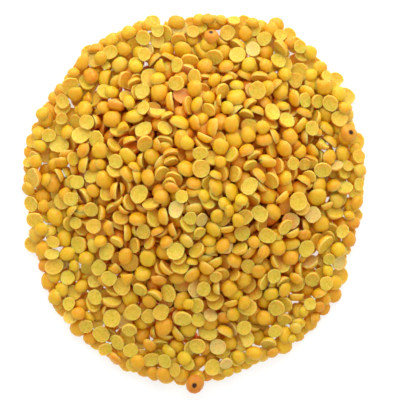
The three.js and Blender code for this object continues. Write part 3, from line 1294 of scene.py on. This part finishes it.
@dataclass
class Sliding:
    """Lets the grains slide and tip to rest under gravity, as rigid bodies in a world of millimetres."""

    settling: Settling
    core: HeapCore
    gravity: float = 100.0
    friction: float = 0.9
    damping: float = 0.4
    share: float = 0.97  # of a body's size against its grain's
    margin: float = 0.04
    steps: int = 10  # for each frame
    iterations: int = 12
    balance: float = 0.39  # height of the middle of mass, as a share of the thickness
    segments: int = 10
    outline: tuple[tuple[float, float], ...] = (  # radius and height of a body's rings
        (0.94, 0.0),
        (1.0, 0.14),
        (0.9, 0.5),
        (0.62, 0.83),
        (0.25, 1.0),
    )
    ground_depth: float = 5.0

    def run(self, frames: int) -> None:
        """Lets the grains move for a number of frames, and takes their new places over.

        Args:
            frames: How long they move.
        """
        scene = bpy.context.scene
        gravity = scene.gravity.copy()
        bodies = bpy.data.collections.new("sliding")
        scene.collection.children.link(bodies)
        bpy.ops.rigidbody.world_add()
        world = scene.rigidbody_world
        world.collection = bodies
        world.substeps_per_frame = self.steps
        world.solver_iterations = self.iterations
        world.point_cache.frame_end = frames + 1
        scene.gravity = (0.0, 0.0, -self.gravity)
        scene.frame_set(1)
        shape = self._grain_mesh()
        grains = [self._grain(bodies, shape, grain) for grain in self.settling.grains]
        self._body(bodies, self._ground_mesh(), "PASSIVE", "CONVEX_HULL")
        self._body(bodies, self.core.mesh(1.0), "PASSIVE", "MESH")
        for frame in range(2, frames + 2):
            scene.frame_set(frame)
        self._take_over(grains)
        scene.frame_set(1)
        bpy.ops.rigidbody.world_remove()
        scene.gravity = gravity
        for mesh in {body.data for body in bodies.objects}:
            bpy.data.meshes.remove(mesh)
        bpy.data.collections.remove(bodies)

    def _take_over(self, bodies: list[bpy.types.Object]) -> None:
        """Gives the bodies' places and turns to their grains."""
        places, turns = [], []
        for body, grain in zip(bodies, self.settling.grains):
            turn = np.array(body.matrix_world.to_3x3().normalized())
            middle = np.array(body.matrix_world.translation)
            turns.append(turn)
            places.append(middle - turn[:, 2] * self.balance * grain.half_sizes[2])
        self.settling.move(places, turns, self.core)

    def _grain(
        self, bodies: bpy.types.Collection, shape: bpy.types.Mesh, grain: Settled
    ) -> bpy.types.Object:
        """Makes a grain's body.

        Args:
            bodies: Where it goes.
            shape: The half lentil in unit size, about its middle of mass.
            grain: The grain.

        Returns:
            The body.
        """
        body = self._body(bodies, shape, "PASSIVE" if grain.held else "ACTIVE", "CONVEX_HULL")
        middle = grain.place + grain.turn[:, 2] * self.balance * grain.half_sizes[2]
        size = Matrix.Diagonal((*(grain.half_sizes * self.share).tolist(), 1.0))
        turn = Matrix(grain.turn.tolist()).to_4x4()
        body.matrix_world = Matrix.Translation(middle.tolist()) @ turn @ size
        return body

    def _body(
        self, bodies: bpy.types.Collection, mesh: bpy.types.Mesh, kind: str, shape: str
    ) -> bpy.types.Object:
        """Makes a body.

        Args:
            bodies: Where it goes.
            mesh: Its shape.
            kind: ACTIVE if it moves, or PASSIVE.
            shape: How its shape is read.

        Returns:
            The body.
        """
        body = bpy.data.objects.new("body", mesh)
        bodies.objects.link(body)
        rigid = body.rigid_body
        rigid.type = kind
        rigid.collision_shape = shape
        rigid.friction = self.friction
        rigid.restitution = 0.0
        rigid.linear_damping = self.damping
        rigid.angular_damping = self.damping
        rigid.use_margin = True
        rigid.collision_margin = self.margin
        return body

    def _grain_mesh(self) -> bpy.types.Mesh:
        """Makes the shape of a grain's body.

        Returns:
            A half lentil of unit size, about its middle of mass.
        """
        count = self.segments
        angles = 2 * math.pi * np.arange(count) / count
        points = [
            (radius * math.cos(angle), radius * math.sin(angle), height - self.balance)
            for radius, height in self.outline
            for angle in angles
        ]
        last = count * (len(self.outline) - 1)
        faces = [tuple(reversed(range(count))), tuple(range(last, last + count))]
        for i in range(last):
            j = i + 1 if (i + 1) % count else i + 1 - count
            faces.append((i, j, j + count, i + count))
        return new_mesh("half_body", points, faces)

    def _ground_mesh(self) -> bpy.types.Mesh:
        """Makes the block that the grains lie on.

        Returns:
            A block as wide as the map.
        """
        sides = (-self.settling.reach, self.settling.reach)
        corners = [(x, y, z) for z in (-self.ground_depth, FLOOR_GAP) for y in sides for x in sides]
        faces = [(0, 2, 3, 1), (4, 5, 7, 6), (0, 1, 5, 4), (2, 6, 7, 3), (0, 4, 6, 2), (1, 3, 7, 5)]
        return new_mesh("ground_body", corners, faces)


class GrainTree:
    """The node tree that sets a shape of grain on each point, joins them and makes them uneven."""

    INPUTS = (
        ("Places", "NodeSocketGeometry"),
        ("Shapes", "NodeSocketCollection"),
        ("Finish", "NodeSocketMaterial"),
        ("Scale", "NodeSocketFloat"),
        ("Unevenness", "NodeSocketFloat"),
        ("Patches", "NodeSocketFloat"),
        ("Seed", "NodeSocketFloat"),
        ("Floor", "NodeSocketFloat"),
    )

    def __init__(self) -> None:
        """Builds the tree."""
        self.tree = bpy.data.node_groups.new("set_grains", "GeometryNodeTree")
        for name, kind in self.INPUTS:
            self.tree.interface.new_socket(name=name, in_out="INPUT", socket_type=kind)
        self.tree.interface.new_socket(name="Grains", in_out="OUTPUT", socket_type="NodeSocketGeometry")
        self.given = add_node(self.tree, "NodeGroupInput")
        inputs = {"Geometry": self._uneven(self._set_shapes()), "Material": self._input("Finish")}
        finish = add_node(self.tree, "GeometryNodeSetMaterial", inputs)
        add_node(self.tree, "NodeGroupOutput", {"Grains": finish.outputs["Geometry"]})

    def _input(self, name: str) -> bpy.types.NodeSocket:
        """Reads one of the tree's own inputs."""
        return self.given.outputs[name]

    def _named(self, name: str, data_type: str) -> bpy.types.NodeSocket:
        """Reads one of the points' own attributes."""
        node = add_node(self.tree, "GeometryNodeInputNamedAttribute", {"Name": name}, data_type=data_type)
        return node.outputs["Attribute"]

    def _vector(self, operation: str, inputs: dict[str | int, object]) -> bpy.types.NodeSocket:
        """Works out a vector."""
        return add_node(self.tree, "ShaderNodeVectorMath", inputs, operation=operation).outputs["Vector"]

    def _set_shapes(self) -> bpy.types.NodeSocket:
        """Sets the shapes on their points.

        Returns:
            The joined grains.
        """
        collection = {"Collection": self._input("Shapes"), "Separate Children": True, "Reset Children": True}
        shapes = add_node(self.tree, "GeometryNodeCollectionInfo", collection)
        euler = add_node(self.tree, "FunctionNodeEulerToRotation", {0: self._named("turn", "FLOAT_VECTOR")})
        size = {0: self._named("half_sizes", "FLOAT_VECTOR"), "Scale": self._input("Scale")}
        grains = {
            "Points": self._input("Places"),
            "Instance": shapes.outputs["Instances"],
            "Pick Instance": True,
            "Instance Index": self._named("shape", "INT"),
            "Rotation": euler.outputs[0],
            "Scale": self._vector("SCALE", size),
        }
        instances = add_node(self.tree, "GeometryNodeInstanceOnPoints", grains).outputs["Instances"]
        return add_node(self.tree, "GeometryNodeRealizeInstances", {0: instances}).outputs[0]

    def _uneven(self, grains: bpy.types.NodeSocket) -> bpy.types.NodeSocket:
        """Moves the surfaces by a slow noise, the same for grains that touch, and never below the floor.

        Args:
            grains: The joined grains.

        Returns:
            The uneven grains.
        """
        place = add_node(self.tree, "GeometryNodeInputPosition").outputs["Position"]
        swell = {"Vector": place, "W": self._input("Seed"), "Scale": self._input("Patches"), "Detail": 1.0}
        noise = add_node(self.tree, "ShaderNodeTexNoise", swell, noise_dimensions="4D").outputs["Color"]
        centred = self._vector("SUBTRACT", {0: noise, 1: (0.5, 0.5, 0.5)})
        offset = self._vector("SCALE", {0: centred, "Scale": self._input("Unevenness")})
        floor = {"X": -1.0, "Y": -1.0, "Z": self._input("Floor")}  # far outside the heap in plan
        lowest = add_node(self.tree, "ShaderNodeCombineXYZ", floor).outputs["Vector"]
        moved = self._vector("MAXIMUM", {0: self._vector("ADD", {0: place, 1: offset}), 1: lowest})
        setter = add_node(self.tree, "GeometryNodeSetPosition", {"Geometry": grains, "Position": moved})
        return setter.outputs["Geometry"]

    def socket(self, name: str) -> str:
        """Gives the identifier of one of the tree's inputs."""
        sockets = self.tree.interface.items_tree
        return next(item.identifier for item in sockets if item.name == name and item.in_out == "INPUT")


@dataclass
class GrainPieces:
    """Turns settled grains into one piece for each kind."""

    tree: GrainTree
    settling: Settling
    unevenness: float = 0.65  # of the surfaces, in millimetres across the noise's whole range
    patches: float = 420.0  # of the noise for each metre
    full_shade_depth: float = 4.5  # under the skyline, where the painted shade is at its fullest
    fringe: float = 20.0  # width of the heap's edge, in which the painted shade fades out
    room: int = 5  # cells round a place that its skyline takes in

    def __post_init__(self) -> None:
        """Finds the skyline that depths are measured from."""
        self.skyline = self.settling.skyline(self.room)

    def build(self, rule: KindRule, grains: list[Settled]) -> bpy.types.Object:
        """Makes the piece that holds all the grains of a kind.

        Args:
            rule: The kind's name, shapes and finish.
            grains: Its settled grains.

        Returns:
            A plain mesh object at the origin.
        """
        name = rule.kind.value
        shapes = bpy.data.collections.new(f"{name}_shapes")
        for shape in rule.shapes:
            shapes.objects.link(bpy.data.objects.new(shape.name, shape.build()))
        points = put_in_scene(f"{name}_points", self._points(grains))
        setter = points.modifiers.new("grains", "NODES")
        setter.node_group = self.tree.tree
        values = {
            "Shapes": shapes,
            "Finish": rule.finish.build(),
            "Scale": MM,
            "Unevenness": self.unevenness * MM,
            "Patches": self.patches,
            "Seed": float(SEED),
            "Floor": FLOOR_GAP * MM,
        }
        for socket, value in values.items():
            setter[self.tree.socket(socket)] = value
        evaluated = points.evaluated_get(bpy.context.evaluated_depsgraph_get())
        mesh = bpy.data.meshes.new_from_object(evaluated)
        mesh.name = name
        points.modifiers.remove(setter)
        for spare in (points, *shapes.objects):
            bpy.data.objects.remove(spare)
        bpy.data.collections.remove(shapes)
        for spare in ("turn", "half_sizes", "shape"):
            mesh.attributes.remove(mesh.attributes[spare])
        self._mark_painted_shade(mesh)
        mesh.shade_smooth()
        LOG.info("%s: %d grains, %d faces", name, len(grains), len(mesh.polygons))
        return put_in_scene(name, mesh)

    def _mark_painted_shade(self, mesh: bpy.types.Mesh) -> None:
        """Stores how deep each vertex lies among the grains round it, from 0 to 1, as the mask of the painted
        shade.

        Args:
            mesh: The grains of a kind.
        """
        flat = np.empty(len(mesh.vertices) * 3, np.float32)
        mesh.vertices.foreach_get("co", flat)
        x, y, z = flat.reshape(-1, 3).T / MM
        cell, reach = self.settling.cell, self.settling.reach
        rows, columns = (np.rint((along + reach) / cell).astype(int) for along in (y, x))
        depth = np.clip((self.skyline[rows, columns] - z) / self.full_shade_depth, 0, 1)
        depth *= np.clip(self.settling.inset[rows, columns] / self.fringe, 0, 1)
        store(mesh, "depth", depth)

    @staticmethod
    def _points(grains: list[Settled]) -> bpy.types.Mesh:
        """Makes a point for each grain.

        Args:
            grains: The grains of a kind.

        Returns:
            The points, with each grain's turn, half sizes, shape, tone and warmth.
        """
        mesh = new_mesh("grain_points", [grain.place * MM for grain in grains], [])
        turns = [tuple(Matrix(grain.turn.tolist()).to_euler()) for grain in grains]
        store(mesh, "turn", turns, "FLOAT_VECTOR")
        store(mesh, "half_sizes", [grain.half_sizes for grain in grains], "FLOAT_VECTOR")
        store(mesh, "shape", [grain.shape for grain in grains], "INT")
        for name in ("tone", "warmth"):
            store(mesh, name, [getattr(grain, name) for grain in grains])
        return mesh


# ---- Studio ----


@dataclass(frozen=True)
class Studio:
    """A white floor, soft light from the far side, and a camera straight above."""

    frame_width: float = 124.8  # millimetres that the camera sees at the height of the outer grains
    grain_level: float = 1.5
    camera_height: float = 450.0
    camera_place: tuple[float, float] = (2.03, 0.94)
    sensor: float = 36.0
    floor_grey: float = 0.45
    floor_roughness: float = 0.9
    floor_shine: float = 0.1
    floor_glow: float = 0.64
    floor_side: float = 2.0  # from its middle, and metres from here on
    key_place: tuple[float, float, float] = (0.03, 0.72, 0.46)
    key_size: float = 1.2
    key_power: float = 8.9
    sky: float = 0.705

    def build(self) -> None:
        """Sets up the floor, the lights, the camera and the colour display."""
        self._floor()
        self._lights()
        self._camera()
        view = bpy.context.scene.view_settings
        view.view_transform = "Standard"
        view.look = "None"

    def _floor(self) -> None:
        """Lays a plain white floor under the grains."""
        side = self.floor_side
        corners = [(-side, -side, 0), (side, -side, 0), (side, side, 0), (-side, side, 0)]
        mesh = new_mesh("floor", corners, [(0, 1, 2, 3)])
        wiring = Wiring("white_floor")
        wiring.shade(
            {
                "Base Color": (self.floor_grey,) * 3,
                "Roughness": self.floor_roughness,
                "Specular IOR Level": self.floor_shine,
                "Emission Color": (1.0, 1.0, 1.0),
                "Emission Strength": self.floor_glow,
            }
        )
        mesh.materials.append(wiring.material)
        put_in_scene("floor", mesh)

    def _lights(self) -> None:
        """Hangs a soft key light on the far side, and lights the rest evenly."""
        light = bpy.data.lights.new("key", "AREA")
        light.shape = "DISK"
        light.size = self.key_size
        light.energy = self.key_power
        key = put_in_scene("key", light)
        key.location = self.key_place
        key.rotation_euler = (-key.location).to_track_quat("-Z", "Y").to_euler()
        world = bpy.data.worlds.new("studio")
        world.use_nodes = True
        backdrop = world.node_tree.nodes["Background"]
        backdrop.inputs["Color"].default_value = (1.0, 1.0, 1.0, 1.0)
        backdrop.inputs["Strength"].default_value = self.sky
        bpy.context.scene.world = world

    def _camera(self) -> None:
        """Points the camera straight down."""
        camera = bpy.data.cameras.new("camera")
        camera.sensor_width = self.sensor
        camera.lens = self.sensor * (self.camera_height - self.grain_level) / self.frame_width
        eye = put_in_scene("camera", camera)
        eye.location = (self.camera_place[0] * MM, self.camera_place[1] * MM, self.camera_height * MM)
        bpy.context.scene.camera = eye


# ---- The whole ----


@dataclass(frozen=True)
class Level:
    """A height that grains are wanted up to, over a band inside the foot's line."""

    height: float
    least_inset: float
    greatest_inset: float = math.inf

    def over(self, settling: Settling) -> np.ndarray:
        """Gives the wanted height over each cell of the map, and 0 outside the band."""
        band = (settling.inset > self.least_inset) & (settling.inset < self.greatest_inset)
        return np.where(band, self.height, 0)


@dataclass(frozen=True)
class Stages:
    """The stages in which the heap comes about, from the surface up."""

    foot_inset: tuple[float, float] = (2.5, 3.4)  # of the grains round the foot
    foot_spacing: float = 4.0
    floor_level: Level = Level(2.6, 2.2)
    edge_level: Level = Level(2.7, 1.1, 12.0)
    inner_level: Level = Level(2.7, 4.0, 16.0)
    body_inset: float = 1.4
    body_gap: float = 0.4  # from the wanted height to the heap's form
    body_least: float = 2.2
    body_headroom: float = 2.4  # from the wanted height to the ceiling
    on_floor: Pour = Pour(0.8, 2.0, 20, (0.0, 0.05), 2.7)
    body: Pour = Pour(1.6, 2.0, 24, (0.7, 0.2), 2.8, patience=400)
    slide: int = 25  # frames
    edge: Pour = Pour(2.6, 3.4, 16, (0.0, 0.05), 2.4, tries=5)
    skin: Pour = Pour(1.5, 3.2, 20, (0.95, 0.2), 2.8)
    second_slide: int = 5  # frames
    last_edge: Pour = Pour(2.55, 3.7, 14, (0.0, 0.0), 2.2, tries=8, size=0.82)
    last_inner: Pour = Pour(2.55, 4.8, 16, (0.0, 0.0), 4.4, tries=8, size=0.88)
    last_skin: Pour = Pour(1.9, 2.8, 22, (0.7, 0.2), 2.8, size=0.9)

    def settle(self, form: HeapForm, rules: tuple[KindRule, ...], core: HeapCore) -> Settling:
        """Lets all the grains down.

        Args:
            form: The heap's form.
            rules: The kinds of grain.
            core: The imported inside, which takes the place of the grains that never show.

        Returns:
            The settling, with every grain from the surface up.
        """
        settling = Settling(form, GrainSize(), rules, np.random.default_rng(SEED))
        sliding = Sliding(settling, core)
        settling.lay_foot(self.foot_inset, self.foot_spacing)
        settling.fill(self.floor_level.over(settling), self.on_floor)
        LOG.info("%d grains on the surface", len(settling.grains))
        settling.raise_core(core)
        wanted = np.clip(settling.top - self.body_gap, self.body_least, form.ceiling - self.body_headroom)
        body = np.where(settling.inset > self.body_inset, wanted, 0)
        settling.fill(body, self.body)
        LOG.info("%d grains under the last ones", len(settling.grains))
        sliding.run(self.slide)
        LOG.info("%d grains at rest", len(settling.grains))
        edge = self.edge_level.over(settling)
        settling.cover(edge, self.edge)
        settling.cover(body, self.skin)
        settling.lay_eyed()
        LOG.info("%d grains with the last ones", len(settling.grains))
        sliding.run(self.second_slide)
        LOG.info("%d grains at rest again", len(settling.grains))
        settling.cover(edge, self.last_edge)
        settling.cover(self.inner_level.over(settling), self.last_inner)
        settling.cover(body, self.last_skin)
        LOG.info("%d grains in all", len(settling.grains))
        return settling


def main() -> None:
    """Builds the heap's pieces and its studio."""
    logging.basicConfig(level=logging.INFO, format="%(message)s")
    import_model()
    low, high = (np.array(corner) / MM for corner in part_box(NODE))
    form = HeapForm.from_box(low, high)
    Studio().build()
    rules = kind_rules()
    core = HeapCore(form)
    settling = Stages().settle(form, rules, core)
    pieces = GrainPieces(GrainTree(), settling)
    made = []
    for rule in rules:
        grains = [grain for grain in settling.grains if grain.kind is rule.kind]
        made.append(pieces.build(rule, grains))
    for piece in [*made, core.build()]:
        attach(piece, BODY)
        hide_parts(NODE)


if __name__ == "__main__":
    main()
